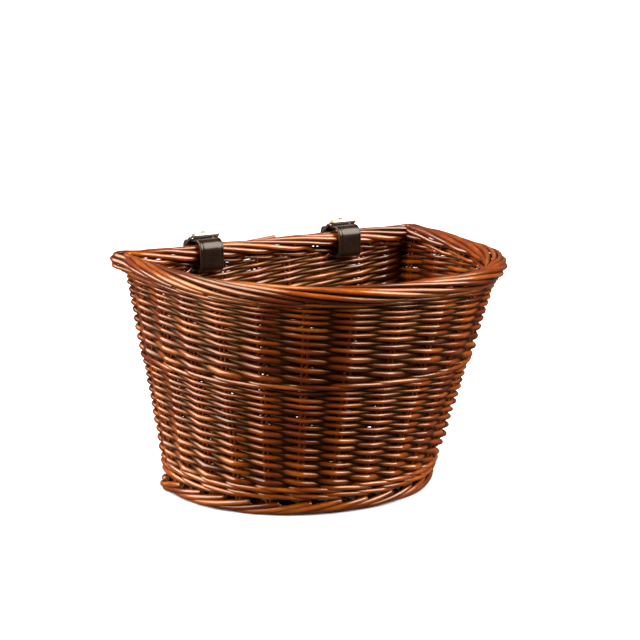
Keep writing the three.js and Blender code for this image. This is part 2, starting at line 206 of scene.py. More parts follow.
# ---- smooth lines
BEND_SHARPNESS = 0.997  # nearer to 1, a weaver bends more sharply over a stake


def through(knots, values, at):
    """A smooth line through the values at the knots."""
    knots = np.asarray(knots, float)
    values = np.asarray(values, float)
    slope = np.gradient(values, knots)
    i = np.clip(np.searchsorted(knots, at, side="right") - 1, 0, len(knots) - 2)
    width = knots[i + 1] - knots[i]
    s = (at - knots[i]) / width
    start = values[i] * (1 + 2 * s) * (1 - s) ** 2 + slope[i] * width * s * (1 - s) ** 2
    return start + values[i + 1] * s * s * (3 - 2 * s) + slope[i + 1] * width * s * s * (s - 1)


def wander(at, amount, every, chance):
    """Slow random change with its turning points a given distance apart."""
    knots = np.arange(at.min() - 2 * every, at.max() + 3 * every, every)
    return through(knots, chance.normal(0, amount, len(knots)), at)


def zigzag(at):
    """Nearly straight between whole numbers, bent softly at each: 1 at even numbers and -1 at odd ones."""
    return np.arcsin(BEND_SHARPNESS * np.cos(math.pi * at)) / math.asin(BEND_SHARPNESS)


def ramp(value, low, high):
    s = np.clip((value - low) / (high - low), 0, 1)
    return s * s * (3 - 2 * s)


# ---- rods
SHADED = 0.25  # shade of a rod inside the wall and of a rod's hidden side; 1 is open
LIT_SIDE = (-0.35, 0.8)  # from a rod's hidden side to its open side, as the cosine of the turn round it
END_SHRINK = 0.86  # each cut end is a little narrower than its rod


class Rods:
    """Closed tubes gathered into one mesh, with what the bark needs to know at every point, the painted shade
    among it.
    """

    def __init__(self, sides=8):
        self.sides = sides
        self.points = []
        self.quads = []
        self.fans = []
        self.place = []
        self.seed = []
        self.shade = []
        self.cut = []
        self.count = 0

    def add(self, centres, radii, outward, seed, exposure=1.0):
        """exposure is how open the rod lies along its length: 1 outside, -1 inside, 0 between the stakes. It
        sets the painted shade kept in rod_shade: darkest between the stakes, and on the side of the rod
        turned from outward, or towards it where exposure is below 0.
        """
        n = len(centres)
        sides = self.sides
        outward = np.broadcast_to(outward, (n, 3))
        along = unit(np.gradient(centres, axis=0))
        out = unit(outward - along * np.sum(outward * along, axis=1)[:, None])
        side = np.cross(along, out)
        turn = np.arange(sides) * 2 * math.pi / sides
        radii = np.broadcast_to(np.asarray(radii, float), n)
        exposure = np.broadcast_to(np.asarray(exposure, float), n)
        spoke = out[:, None] * np.cos(turn)[None, :, None] + side[:, None] * np.sin(turn)[None, :, None]
        rings = centres[:, None] + spoke * radii[:, None, None]
        distance = cumulative(centres)
        # painted shade: rod_shade darkens a rod between and inside the stakes and on its hidden side,
        # standing in for the shade there
        facing = np.cos(turn)[None, :] * np.sign(exposure)[:, None]
        open_share = np.sqrt(np.abs(exposure))[:, None]
        shade = (SHADED + (1 - SHADED) * open_share) * (SHADED + (1 - SHADED) * ramp(facing, *LIT_SIDE))

        def store(points, distances, angles, shades, cut):
            self.points.append(points)
            place = np.stack([distances, np.cos(angles), np.sin(angles)], axis=1)
            self.place.append(place)
            self.seed.append(np.full(len(points), seed))
            self.shade.append(shades)
            self.cut.append(np.full(len(points), cut))

        base = self.count
        store(rings.reshape(-1, 3), np.repeat(distance, sides), np.tile(turn, n), shade.reshape(-1), 0.0)
        ring = np.arange(sides)
        after = (ring + 1) % sides
        rows = np.arange(n - 1)[:, None] * sides + base
        quads = np.stack([rows + ring, rows + after, rows + sides + after, rows + sides + ring], axis=2)
        self.quads.append(quads.reshape(-1, 4))
        self.count += n * sides
        for end, first in ((0, base), (n - 1, base + (n - 1) * sides)):
            inner = centres[end] + spoke[end] * radii[end] * END_SHRINK
            store(inner, np.full(sides, distance[end]), turn, np.full(sides, 1.0), 1.0)
            store(centres[end][None], distance[end:end + 1], turn[:1], np.ones(1), 1.0)
            start = self.count
            self.count += sides + 1
            near, far = (ring, after) if end else (after, ring)
            self.quads.append(np.stack([first + near, first + far, start + far, start + near], axis=1))
            centre = np.full(sides, start + sides)
            self.fans.append(np.stack([centre, start + near, start + far], axis=1))

    def make(self, name, material):
        points = np.concatenate(self.points) * MM
        faces = np.concatenate(self.quads).tolist() + np.concatenate(self.fans).tolist()
        mesh = bpy.data.meshes.new(name)
        mesh.from_pydata(points.tolist(), [], faces)
        mesh.shade_smooth()
        for label, kind, values in (
            ("rod_place", "FLOAT_VECTOR", np.concatenate(self.place)),
            ("rod_seed", "FLOAT", np.concatenate(self.seed)),
            ("rod_shade", "FLOAT", np.concatenate(self.shade)),
            ("rod_cut", "FLOAT", np.concatenate(self.cut)),
        ):
            store = mesh.attributes.new(label, kind, "POINT")
            field = "vector" if kind == "FLOAT_VECTOR" else "value"
            store.data.foreach_set(field, values.astype(np.float32).ravel())
        mesh.materials.append(material)
        return placed(name, mesh)


# ---- materials
def new_material(name):
    material = bpy.data.materials.new(name)
    material.use_nodes = True
    nodes = material.node_tree.nodes
    return material, nodes, material.node_tree.links, nodes["Principled BSDF"]


def ramp_node(nodes, stops):
    node = nodes.new("ShaderNodeValToRGB")
    while len(node.color_ramp.elements) < len(stops):
        node.color_ramp.elements.new(0.5)
    for element, (position, colour) in zip(node.color_ramp.elements, stops):
        element.position = position
        element.color = (*colour, 1)
    return node


def math_node(nodes, links, operation, first, second):
    node = nodes.new("ShaderNodeMath")
    node.operation = operation
    for socket, value in zip(node.inputs, (first, second)):
        if isinstance(value, (int, float)):
            socket.default_value = value
        else:
            links.new(value, socket)
    return node.outputs[0]


def mix_colour(nodes, links, share, first, second):
    node = nodes.new("ShaderNodeMix")
    node.data_type = "RGBA"
    for socket, value in ((node.inputs["Factor"], share), (node.inputs[6], first), (node.inputs[7], second)):
        if isinstance(value, tuple):
            socket.default_value = (*value, 1)
        elif isinstance(value, (int, float)):
            socket.default_value = value
        else:
            links.new(value, socket)
    return node.outputs[2]


def noise_node(nodes, links, vector, scale, detail, rough=0.55):
    node = nodes.new("ShaderNodeTexNoise")
    node.inputs["Scale"].default_value = scale
    node.inputs["Detail"].default_value = detail
    node.inputs["Roughness"].default_value = rough
    links.new(vector, node.inputs["Vector"])
    return node.outputs["Fac"]


def range_node(nodes, links, value, low, high, to_low, to_high):
    node = nodes.new("ShaderNodeMapRange")
    links.new(value, node.inputs["Value"])
    for label, number in (("From Min", low), ("From Max", high), ("To Min", to_low), ("To Max", to_high)):
        node.inputs[label].default_value = number
    return node.outputs["Result"]


CUT_WOOD = (0.62, 0.38, 0.17)


def tinted(colour, factor):
    return tuple(factor * c for c in colour)


def add_bump(nodes, links, shader, height, strength, distance):
    bump = nodes.new("ShaderNodeBump")
    bump.inputs["Strength"].default_value = strength
    bump.inputs["Distance"].default_value = distance
    links.new(height, bump.inputs["Height"])
    links.new(bump.outputs[0], shader.inputs["Normal"])


def willow_material(name, tones, dark, painted_shade_strength):
    """Stained and varnished willow: every rod has its own tone, with streaks and specks; painted shade from
    rod_shade darkens the gaps between rods and their hidden sides, and takes the coat away there.
    """
    material, nodes, links, shader = new_material(name)

    def attribute(label, output="Fac"):
        node = nodes.new("ShaderNodeAttribute")
        node.attribute_name = label
        return node.outputs[output]

    place = attribute("rod_place", "Vector")
    seed = attribute("rod_seed")
    shade = attribute("rod_shade")
    cut = attribute("rod_cut")
    shift = nodes.new("ShaderNodeCombineXYZ")
    for axis, factor in (("X", 37.0), ("Y", 11.0)):
        links.new(math_node(nodes, links, "MULTIPLY", seed, factor), shift.inputs[axis])

    def stretched(along, round_):
        scale = nodes.new("ShaderNodeVectorMath")
        scale.operation = "MULTIPLY_ADD"
        links.new(place, scale.inputs[0])
        scale.inputs[1].default_value = (along, round_, round_)
        links.new(shift.outputs[0], scale.inputs[2])
        return scale.outputs[0]

    streaks = noise_node(nodes, links, stretched(0.06, 2.2), scale=1.0, detail=5, rough=0.62)
    patches = noise_node(nodes, links, stretched(0.035, 0.35), scale=1.0, detail=2)
    specks = noise_node(nodes, links, stretched(0.9, 1.6), scale=1.6, detail=2)

    own = nodes.new("ShaderNodeTexWhiteNoise")
    own.noise_dimensions = "1D"
    links.new(seed, own.inputs["W"])
    tone = math_node(nodes, links, "MULTIPLY_ADD", own.outputs["Value"], 0.66)
    links.new(range_node(nodes, links, patches, 0.3, 0.7, 0.0, 0.4), tone.node.inputs[2])
    colours = ramp_node(nodes, tones)
    links.new(tone, colours.inputs["Fac"])

    streak_share = range_node(nodes, links, streaks, 0.42, 0.72, 0.0, 0.75)
    colour = mix_colour(nodes, links, streak_share, colours.outputs["Color"], dark)
    speck_share = range_node(nodes, links, specks, 0.66, 0.74, 0.0, 0.7)
    colour = mix_colour(nodes, links, speck_share, colour, dark)
    # painted shade: where rod_shade is low the colour goes to a deeper BARK_DARK, standing in for the shade
    # in the gaps between rods
    painted_crevice_shade = range_node(nodes, links, shade, 0.3, 1.0, painted_shade_strength, 0.0)
    colour = mix_colour(nodes, links, painted_crevice_shade, colour, tinted(dark, 0.35))
    colour = mix_colour(nodes, links, cut, colour, CUT_WOOD)
    links.new(colour, shader.inputs["Base Color"])

    gloss = range_node(nodes, links, streaks, 0.3, 0.75, 0.26, 0.48)
    links.new(gloss, shader.inputs["Roughness"])
    # the coat fades with the painted shade too, so the shaded gaps give no highlight
    links.new(range_node(nodes, links, shade, 0.55, 0.98, 0.0, 0.85), shader.inputs["Coat Weight"])
    shader.inputs["Coat Roughness"].default_value = 0.13
    shader.inputs["Coat IOR"].default_value = 1.62
    shader.inputs["Specular IOR Level"].default_value = 0.35
    shader.inputs["Specular Tint"].default_value = (1.0, 0.62, 0.26, 1)

    height = math_node(nodes, links, "ADD", streaks, math_node(nodes, links, "MULTIPLY", specks, 0.35))
    add_bump(nodes, links, shader, height, strength=0.35, distance=0.0004)
    return material


BARK_TONES = [
    (0.0, (0.43, 0.128, 0.010)),
    (0.35, (0.29, 0.060, 0.004)),
    (0.68, (0.15, 0.020, 0.002)),
    (1.0, (0.055, 0.006, 0.001)),
]
BARK_DARK = (0.026, 0.003, 0.001)
# the last number is how strongly the painted shade darkens the bark
willow = willow_material("varnished_willow", BARK_TONES, BARK_DARK, 0.9)
willow_stakes = willow_material("varnished_stakes", BARK_TONES, BARK_DARK, 0.4)


# ---- woven wall
STAKE_RADIUS = 1.6
STEPS_PER_STAKE = 14
SLOT_Z = 204  # each strap passes through the wall here
SLOT_CLEARANCE = 1.5
SLOT_REACH = 9  # rods further above or below the slot than this stay where they are
SLOT_EASE = (1, 8)  # past a strap's edge a rod goes back to its place between these distances
NEAR_BACK = 12  # how far in front of the back plane the back wall still counts as near
strap_x = {side: sum(corner.x for corner in box_mm("strap_" + side)) / 2 for side in ("left", "right")}
STRAP_HALF = (box_mm("strap_left")[1].x - box_mm("strap_left")[0].x) / 2


def clear_of_straps(along, z, radius):
    """Moves a rod up or down where a strap passes through the wall."""
    middle = wall_line(along, z)
    at_back = middle[:, 1] > back_y[1] - NEAR_BACK
    from_slot = z - SLOT_Z
    moved = z.copy()
    for x in strap_x.values():
        beside = np.abs(middle[:, 0] - x) - STRAP_HALF
        near = at_back * (1 - ramp(beside, *SLOT_EASE))
        if near.max() < 0.5:
            continue
        gap = np.sum(from_slot * near) / near.sum()
        same_side = np.sign(from_slot) == np.sign(gap)
        distance = np.maximum(np.abs(from_slot) * same_side, SLOT_CLEARANCE + radius)
        wanted = SLOT_Z + np.where(gap > 0, 1, -1) * distance
        if abs(gap) < SLOT_REACH:
            moved += (wanted - z) * near
    return moved


PACKING = 1.3  # a weaver's radius, in quarters of the row spacing
TIGHT_PACKING = 0.16  # added where the weave is tight, in the back wall and at the right
TIGHT_BACK = (14, 6)  # distances from the back plane between which the weave tightens
TIGHT_RIGHT = (0.8, 0.95)  # and shares of the half width at the right


def randing(name, node, first_z, spacing, closing, rows, seed):
    """French randing: a weaver from every stake goes out and in and climbs half a row a stake to the left."""
    chance = np.random.default_rng(seed)
    rods = Rods()
    for start in range(STAKES):
        run = np.linspace(-1, 2 * rows - 1, STEPS_PER_STAKE * 2 * rows + 1)
        stake = start - run
        level = run / 2
        half_row = (spacing - 2 * closing * level) / 2
        along = along_at(stake)
        even_z = first_z + spacing * level
        middle = wall_line(along, even_z)
        at_back = ramp(middle[:, 1], back_y[1] - TIGHT_BACK[0], back_y[1] - TIGHT_BACK[1])
        at_right = ramp(middle[:, 0] / np.interp(even_z, [0, HEIGHT], half_width), *TIGHT_RIGHT)
        tight = np.maximum(at_back, at_right)
        radius = half_row / 2 * (PACKING + TIGHT_PACKING * tight) * (1 + wander(stake, 0.05, 2.5, chance))
        radius = radius * chance.uniform(0.9, 1.08)
        z = even_z - closing * level ** 2 + wander(stake, 0.35, 1.1, chance)
        swing = zigzag(run)
        out = swing * (STAKE_RADIUS + radius * (0.72 - 0.34 * tight)) + wander(stake, 0.25, 1.3, chance)
        z = clear_of_straps(along, z, radius)
        centres, outward = wall_points(along, z, out)
        # swing also sets the painted shade: a weaver is painted darkest where it passes between the stakes,
        # and on its side turned into the wall
        rods.add(centres, radius, outward, chance.uniform(0, 100), swing)
    piece = rods.make(name, willow)
    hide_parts(node)
    return piece


WALING_RODS = 3
WALING_SEAM = 20  # the stake where the rounds of waling start
# One stroke of a waling rod, from 0 to 1, and how far up or down it is, as a share of its rise.
STROKE = [-0.1, 0.0, 0.1, 0.3, 0.5, 0.7, 0.9, 1.0, 1.1]
STROKE_CLIMB = [0.42, 0, -0.42, -0.3, 0, 0.3, 0.42, 0, -0.42]
STROKE_BEND = 2.6  # more makes the rod turn in and out more sharply
STROKE_OUTSIDE = 0.22  # more keeps it outside for longer


def waling(name, node, low_z, pitch, rounds, radius, rise, seed):
    """Three-rod waling: each rod passes outside two stakes and inside one."""
    chance = np.random.default_rng(seed)
    rods = Rods()
    for k in range(WALING_RODS):
        run = np.arange(-0.4, STAKES * rounds + 1.4, 1 / STEPS_PER_STAKE)
        stake = WALING_SEAM - k - run
        phase = np.mod(run / WALING_RODS, 1)
        swing = np.tanh(STROKE_BEND * (STROKE_OUTSIDE - np.cos(2 * math.pi * phase)))
        climb = through(STROKE, STROKE_CLIMB, phase)
        size = radius * (1 + wander(stake, 0.05, 3, chance))
        z = low_z + pitch * run / STAKES + rise * climb + wander(stake, 0.25, 1.5, chance)
        out = swing * (STAKE_RADIUS + size * 0.85)
        centres, outward = wall_points(along_at(stake), z, out)
        # swing also sets the painted shade: a waling rod is painted darkest where it passes between the
        # stakes, and on its side turned into the wall
        rods.add(centres, size, outward, chance.uniform(0, 100), swing)
    piece = rods.make(name, willow)
    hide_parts(node)
    return piece


# Sidings: height of the first row, row spacing, how fast the rows close up, rows and seed.
# Wales: height at the start, climb in a round, rounds, rod radius, rise of a stroke and seed.
wall_pieces = [
    waling("woven_bottom_wale", "bottom_wale", 15.0, 7.1, 2, 2.5, 4.4, 11),
    randing("woven_lower_siding", "lower_siding", 33.3, 9.28, 0.14, 13, 12),
    waling("woven_middle_wale", "middle_wale", 130.8, 0.6, 1, 2.15, 4.2, 13),
    randing("woven_upper_siding", "upper_siding", 139.7, 9.6, 0.25, 10, 14),
    waling("woven_top_wale", "top_wale", 210.6, 0.4, 1, 1.8, 3.0, 15),
]

# Stakes: each is a rod with a thinner bye-stake beside it.
STAKE_FOOT_Z = 4
STAKE_TOP_Z = 217
STAKE_POINTS = 48
PAIR_SPACING = 5.4
PAIR = ((-0.5, STAKE_RADIUS + 0.1), (0.5, STAKE_RADIUS - 0.15))  # share of the spacing, and radius
for number, name in enumerate(stake_names):
    chance = np.random.default_rng(100 + number)
    pair = Rods()
    for share, radius in PAIR:
        z = np.linspace(STAKE_FOOT_Z, STAKE_TOP_Z, STAKE_POINTS)
        along = np.full(len(z), stake_along[number]) + share * PAIR_SPACING + wander(z, 0.3, 30, chance)
        centres, outward = wall_points(along, z, wander(z, 0.12, 30, chance))
        size = radius * (1.08 - 0.16 * z / HEIGHT)
        # painted shade: each stake's side turned into the basket is painted dark, more lightly than on the
        # weavers
        pair.add(centres, size, outward, chance.uniform(0, 100))
    piece = pair.make(name.replace("stake", "stake_pair"), willow_stakes)
    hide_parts(name)
    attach(piece, "root")


# ---- borders
UPWARD = np.array([0, 0, 1.0])
left_corner = nearest_along(Vector((-half_width[1], back_y[1], HEIGHT)))
right_corner = nearest_along(Vector((half_width[1], back_y[1], HEIGHT)))
EAR_REACH = 11
EARS = ((left_corner, 1.0), (right_corner, 0.45))  # each back corner, and its share of the swing


def ears(along):
    """How far into a back corner a place lies: the rods swing wide there, most at the left one."""
    near = []
    for corner, share in EARS:
        distance = np.mod(along - corner + LOOP / 2, LOOP) - LOOP / 2
        near.append(share * np.exp(-(distance / EAR_REACH) ** 2))
    return near[0] + near[1]


BORDER_SIDES = 10
BORDER_SMOOTH = 7.0  # distance over which the way out is taken, so that thick rods turn the corners softly
LAID_OPEN = 0.9  # exposure of a rod that is laid over others, which sets its painted shade
SWUNG_OUT = (-11, -1)  # in a corner, rods inside the first stay and those outside the second swing wide
STRAY_POINTS = 30
STRAY_OUT = -3.0  # from the middle of the wall
STRAY_THIN = 0.92


def border(name, node, lay, lengths, radius, seed, ears_out, stray=None):
    """Rods laid over from each stake to the right: lay gives knots, out and z along one rod.

    stray is one rod end that stands up from the back: x and z where it is cut and where it goes under.
    """
    chance = np.random.default_rng(seed)
    rods = Rods(BORDER_SIDES)
    knots, outs, levels = lay
    middle_out = (min(outs) + max(outs)) / 2
    middle_z = (min(levels) + max(levels)) / 2
    for first_stake in range(STAKES):
        stop = chance.uniform(*lengths)
        s = np.linspace(0, stop, int(stop * 11))
        stake = first_stake + s
        thick = radius * chance.uniform(0.84, 1.12)
        size = thick * (1.06 - 0.1 * s / stop) * (1 + wander(stake, 0.03, 0.6, chance))
        out = through(knots, outs, s) + chance.normal(0, 0.4) + wander(stake, 0.35, 1.3, chance)
        z = through(knots, levels, s) + chance.normal(0, 0.4) + wander(stake, 0.35, 1.3, chance)
        z = np.clip(z, size + 0.05, HEIGHT - size + 0.6)
        along = along_at(stake)
        out = out + ears(along) * ears_out * ramp(out, *SWUNG_OUT)
        centres, outward = wall_points(along, z, out, smooth=BORDER_SMOOTH)
        # painted shade: the side of a rod turned to the border's middle is painted dark, the side away from
        # it left lit
        away = outward * (out - middle_out)[:, None]
        away[:, 2] += z - middle_z
        rods.add(centres, size, unit(away), chance.uniform(0, 100), LAID_OPEN)
    if stray:
        cut_x, hidden_x, cut_z, hidden_z = stray
        x = np.linspace(cut_x, hidden_x, STRAY_POINTS)
        z = np.linspace(cut_z, hidden_z, STRAY_POINTS)
        along = np.array([nearest_along(Vector((value, back_y[1], HEIGHT))) for value in x])
        centres = wall_points(along, z, np.full(STRAY_POINTS, STRAY_OUT), smooth=BORDER_SMOOTH)[0]
        # painted shade: the stray rod's underside is painted dark
        rods.add(centres, radius * STRAY_THIN, UPWARD, chance.uniform(0, 100), LAID_OPEN)
    piece = rods.make(name, willow)
    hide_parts(node)
    return piece


RIM_LAY = (
    [0.0, 0.4, 0.9, 1.7, 2.8, 3.8, 5.0, 6.1, 6.9, 7.9],
    [0.0, -5.0, -10.0, -11.5, -8.0, -3.0, 2.4, 4.2, 2.0, -4.0],
    [210.0, 216.0, 217.0, 221.0, 225.0, 225.6, 222.5, 217.0, 213.4, 213.6],
)
FOOT_LAY = (
    [0.0, 0.5, 1.1, 1.8, 2.8, 3.8, 4.6],
    [-6.0, -7.0, -4.0, 1.0, 4.0, 3.6, 0.5],
    [15.0, 9.5, 4.0, 2.9, 4.2, 8.8, 12.6],
)
RIM_STRAY = (2, -54, 228.2, 223.5)
wall_pieces += [
    border("rolled_rim_border", "rim_border", RIM_LAY, (6.8, 7.8), 2.45, 21, ears_out=9.0, stray=RIM_STRAY),
    border("rolled_foot_border", "foot_border", FOOT_LAY, (4.2, 4.6), 3.05, 22, ears_out=4.0),
]


# ---- base
base_low, base_high = box_mm("base_weave")
stick_names = sorted(name for name in frame["nodes"] if name.startswith("base_stick_"))
BASE_ROD_RADIUS = 2.0
BASE_ROW = 4.1
BASE_INSET = 6.0  # the base ends this far inside the middle of the wall
BASE_SWING = 2.0  # how far its rods go over and under the sticks
BASE_STEP = 4
STICK_POINTS = 24
STICK_SIDES = 12
chance = np.random.default_rng(31)
base_z = (base_low.z + base_high.z) / 2
round_wall = np.arange(0, LOOP, 1.0)
base_edge = wall_points(round_wall, base_z, np.full(len(round_wall), -BASE_INSET))[0]
stick_x = [sum(corner.x for corner in box_mm(name)) / 2 for name in stick_names]
stick_gap = stick_x[1] - stick_x[0]
base_rods = Rods()
for row, y in enumerate(np.arange(base_low.y + 4, base_high.y - 2, BASE_ROW)):
    near = base_edge[np.abs(base_edge[:, 1] - y) < 3]
    if len(near) < 2:
        continue
    left = near[:, 0].min() + 1
    right = near[:, 0].max() - 1
    x = np.linspace(left, right, max(int((right - left) / BASE_STEP), 6))
    swing = np.cos(math.pi * ((x - stick_x[0]) / stick_gap + row))
    centres = np.stack([x, y + wander(x, 0.3, 25, chance), base_z + swing * BASE_SWING], axis=1)
    radius = BASE_ROD_RADIUS * chance.uniform(0.9, 1.05)
    # painted shade: the underside of each base rod is painted dark and its top left lit
    base_rods.add(centres, radius, UPWARD, chance.uniform(0, 100), LAID_OPEN)
base_piece = base_rods.make("woven_base", willow)
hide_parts("base_weave")
wall_pieces.append(base_piece)
for name in stick_names:
    low, high = box_mm(name)
    x = np.full(STICK_POINTS, (low.x + high.x) / 2)
    y = np.linspace(low.y, high.y, STICK_POINTS)
    stick = Rods(STICK_SIDES)
    centres = np.stack([x, y, np.full(STICK_POINTS, base_z)], axis=1)
    # painted shade: the underside of each stick is painted dark and its top left lit
    stick.add(centres, (high.z - low.z) / 2, UPWARD, chance.uniform(0, 100), LAID_OPEN)
    piece = stick.make(name.replace("stick", "rod"), willow_stakes)
    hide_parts(name)
    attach(piece, "root")

for piece in wall_pieces:
    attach(piece, "root")


# ---- leather and steel materials
def leather_material(name, colour, rough, grain_scale, grain_height):
    material, nodes, links, shader = new_material(name)
    place = nodes.new("ShaderNodeTexCoord").outputs["Object"]
    grain = nodes.new("ShaderNodeTexVoronoi")
    grain.inputs["Scale"].default_value = grain_scale
    links.new(place, grain.inputs["Vector"])
    cloud = noise_node(nodes, links, place, scale=90, detail=4)
    wear = noise_node(nodes, links, place, scale=420, detail=3)
    tone = range_node(nodes, links, cloud, 0.3, 0.7, 0.0, 1.0)
    base = mix_colour(nodes, links, tone, tinted(colour, 0.7), tinted(colour, 1.45))
    pore = range_node(nodes, links, grain.outputs["Distance"], 0.0, 0.5, 0.25, 0.0)
    base = mix_colour(nodes, links, pore, base, tinted(colour, 0.4))
    links.new(base, shader.inputs["Base Color"])
    links.new(range_node(nodes, links, wear, 0.3, 0.7, rough - 0.07, rough + 0.1), shader.inputs["Roughness"])
    shader.inputs["Specular IOR Level"].default_value = 0.2
    shader.inputs["Coat Weight"].default_value = 0.4
    shader.inputs["Coat Roughness"].default_value = 0.18
    height = math_node(nodes, links, "ADD", grain.outputs["Distance"], wear)
    add_bump(nodes, links, shader, height, strength=0.5, distance=grain_height)
    return material


def steel_material(name, colour, rough):
    material, nodes, links, shader = new_material(name)
    place = nodes.new("ShaderNodeTexCoord").outputs["Object"]
    scratches = nodes.new("ShaderNodeMapping")
    scratches.inputs["Scale"].default_value = (40, 900, 900)
    links.new(place, scratches.inputs["Vector"])
    fine = noise_node(nodes, links, scratches.outputs[0], scale=1.0, detail=4)
    smear = noise_node(nodes, links, place, scale=160, detail=3)
    tone = range_node(nodes, links, smear, 0.3, 0.75, 0.0, 1.0)
    base = mix_colour(nodes, links, tone, colour, tinted(colour, 0.72))
    links.new(base, shader.inputs["Base Color"])
    shader.inputs["Metallic"].default_value = 1.0
    dullness = range_node(nodes, links, smear, 0.3, 0.7, rough - 0.06, rough + 0.12)
    links.new(dullness, shader.inputs["Roughness"])
    add_bump(nodes, links, shader, fine, strength=0.15, distance=0.0001)
    return material


LEATHER_COLOUR = (0.0085, 0.0038, 0.0022)
leather = leather_material("dark_leather", LEATHER_COLOUR, 0.34, 1500, 0.00004)
leather_edge = leather_material("leather_cut_edge", (0.024, 0.013, 0.009), 0.5, 2600, 0.0001)
leather_back = leather_material("leather_flesh_side", (0.085, 0.05, 0.034), 0.8, 3200, 0.0002)
nickel = steel_material("nickel_plate", (0.4, 0.375, 0.33), 0.27)


def mesh_piece(name, points, faces, materials):
    mesh = bpy.data.meshes.new(name)
    mesh.from_pydata([tuple(point) for point in points], [], faces)
    mesh.shade_smooth()
    for material in materials:
        mesh.materials.append(material)
    return placed(name, mesh)


def swept(loops, closed, faces_out=True):
    """Faces that join loops of points into a tube; an open tube gets a flat face at each end."""
    count = len(loops)
    around = len(loops[0])
    faces = []
    for i in range(count if closed else count - 1):
        here = i * around
        there = (i + 1) % count * around
        for k in range(around):
            after = (k + 1) % around
            face = [here + k, here + after, there + after, there + k]
            faces.append(face if faces_out else face[::-1])
    if not closed:
        first = list(range(around))
        last = [(count - 1) * around + k for k in range(around)]
        faces.append(first[::-1] if faces_out else first)
        faces.append(last if faces_out else last[::-1])
    return [point for loop in loops for point in loop], faces


# ---- straps
STRAP_THICKNESS = 2.4
WIRE_RADIUS = 1.5
TOUCH = 0.3  # between the strap's layers and the wire or layer under them
ROLLER_PLAY = 0.4  # between the roller and the strap under it
BORE_CLEARANCE = 0.25  # between the wire and the roller or the prong's eye
SIDEWAYS = Vector((1, 0, 0))
roller_low, roller_high = box_mm("buckle_roller_left")
ROLLER_RADIUS = (roller_high.z - roller_low.z) / 2
ROLLER_HALF = (roller_high.x - roller_low.x) / 2
joint_place = {joint["name"]: Vector(joint["pos_m"]) / MM for joint in frame["record"]["behaviour"]["joints"]}
bar = np.array(joint_place["left_buckle_swing"].yz)
roller = np.array(joint_place["left_roller_spin"].yz)
strap_low = box_mm("strap_left")[0]
frame_length = np.linalg.norm(roller - bar)
frame_angle = math.atan2(roller[1] - bar[1], roller[0] - bar[0])
fold_radius = WIRE_RADIUS + TOUCH + STRAP_THICKNESS / 2
under_roller = ROLLER_RADIUS + ROLLER_PLAY + STRAP_THICKNESS / 2
over_fold = fold_radius + STRAP_THICKNESS + TOUCH
crossing_angle = frame_angle - math.pi + math.asin((under_roller + over_fold) / frame_length)
crossing_start = roller + under_roller * np.array([math.sin(crossing_angle), -math.cos(crossing_angle)])
leg_y = strap_low.y + STRAP_THICKNESS / 2


def crossing_z(y):
    """Height of the strap's middle line where it runs under the roller and over the fold."""
    return crossing_start[1] + (y - crossing_start[0]) * math.tan(crossing_angle)


def strap_corners():
    """Corners of the strap's middle line from the end of its fold to its tip: y, z and rounding radius."""
    inner = bar[0] - fold_radius
    outer = bar[0] + fold_radius
    tail_top = bar[0] + over_fold
    base_y = inner + STRAP_THICKNESS + 0.7
    tail_y = base_y + STRAP_THICKNESS + 0.8
    return [
        (inner, SLOT_Z + 5, 0),
        (inner, bar[1] + fold_radius, fold_radius),
        (outer, bar[1] + fold_radius, fold_radius),
        (outer, bar[1] - 2.4, 3),
        (base_y, bar[1] - 7, 3),
        (base_y, SLOT_Z, 5),
        (leg_y, SLOT_Z, 5),
        (leg_y, crossing_z(leg_y), 9),
        (tail_top, crossing_z(tail_top), over_fold),
        (tail_top, bar[1] - 2, 3),
        (tail_y, bar[1] - 6.6, 3),
        (tail_y, SLOT_Z, 60),
        (tail_y - 2, strap_low.z + 36, 60),
        (tail_y - 0.5, strap_low.z, 0),
    ]


ARC_STEP = 0.12  # radians


def rounded_line(corners, step):
    """Points no further apart than step along a line of corners, each turned on an arc."""
    points = [np.array(corner[:2]) for corner in corners]
    line = [points[0]]
    for i in range(1, len(points) - 1):
        arrive = (points[i] - points[i - 1]) / np.linalg.norm(points[i] - points[i - 1])
        leave = (points[i + 1] - points[i]) / np.linalg.norm(points[i + 1] - points[i])
        turn = math.atan2(arrive[0] * leave[1] - arrive[1] * leave[0], arrive @ leave)
        radius = corners[i][2]
        start = points[i] - arrive * radius * math.tan(abs(turn) / 2)
        centre = start + np.array([-arrive[1], arrive[0]]) * math.copysign(radius, turn)
        steps = max(2, math.ceil(abs(turn) / ARC_STEP))
        for k in range(steps + 1):
            c = math.cos(turn * k / steps)
            s = math.sin(turn * k / steps)
            line.append(centre + np.array([[c, -s], [s, c]]) @ (start - centre))
    line.append(points[-1])
    dense = [line[0]]
    for point in line[1:]:
        length = np.linalg.norm(point - dense[-1])
        if length < 1e-3:
            continue
        pieces = max(1, math.ceil(length / step))
        start = dense[-1]
        dense += [start + (point - start) * (k + 1) / pieces for k in range(pieces)]
    return np.array(dense)


CREASE_IN = 2.6
CREASE_DEPTH = 0.35
EDGE_ROUND = 0.55
GRAIN, CUT_EDGE, FLESH = range(3)  # the strap's skins, in the order of its materials
FACE_POINTS = 9


